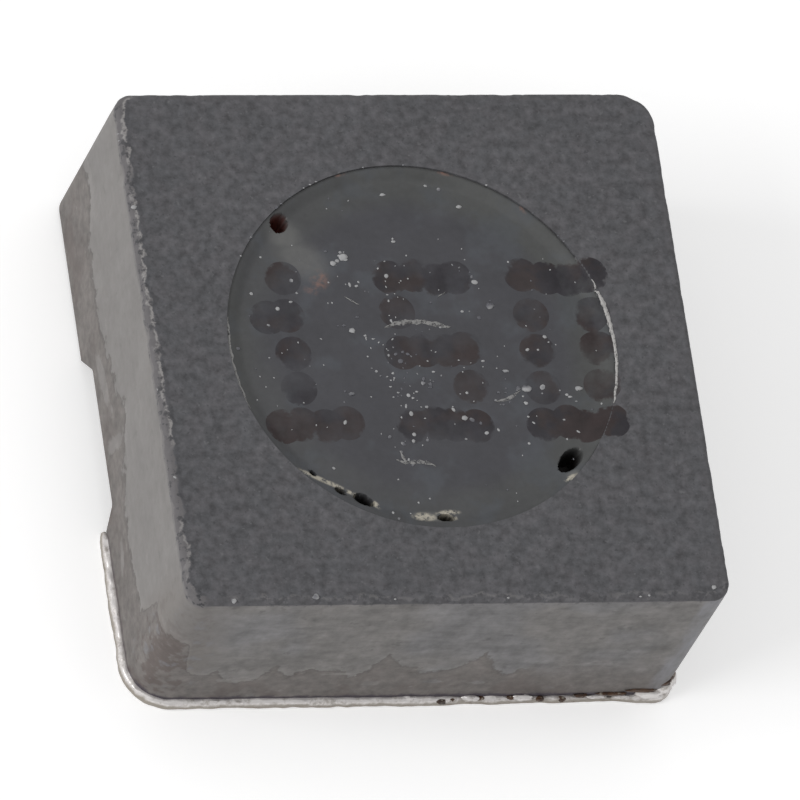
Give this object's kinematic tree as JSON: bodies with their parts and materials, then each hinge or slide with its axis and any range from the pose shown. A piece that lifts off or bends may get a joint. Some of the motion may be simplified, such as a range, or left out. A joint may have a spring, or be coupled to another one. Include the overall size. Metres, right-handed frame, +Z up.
{
  "type": "shielded smd inductor",
  "caption": "Square low shielded power inductor: drum core with a layered wire winding inside a ferrite ring, resin-sealed on top, standing on plated front and back feet.",
  "frame": {"origin": "middle of the footprint, on the pad plane that rests on the board", "axes": "+Z up through the drum's axis to the top face, +X to the right and +Y to the back; the front terminal is at -Y"},
  "size_m": [0.005, 0.005, 0.002],
  "materials": {
    "ferrite": "matt sintered ferrite with a fine grain",
    "drum_ferrite": "ground sintered ferrite",
    "enamelled_wire": "copper wire under clear enamel",
    "plating": "tinned silver metallisation",
    "solder": "reflowed tin solder",
    "resin": "thin glossy epoxy film, dusty and scratched"
  },
  "bodies": {
    "root": {"shield_ring": "ferrite", "drum_core": "drum_ferrite", "winding": "enamelled_wire", "front_terminal": "plating", "back_terminal": "plating", "front_solder": "solder", "back_solder": "solder", "top_resin": "resin"}
  },
  "joints": []
}
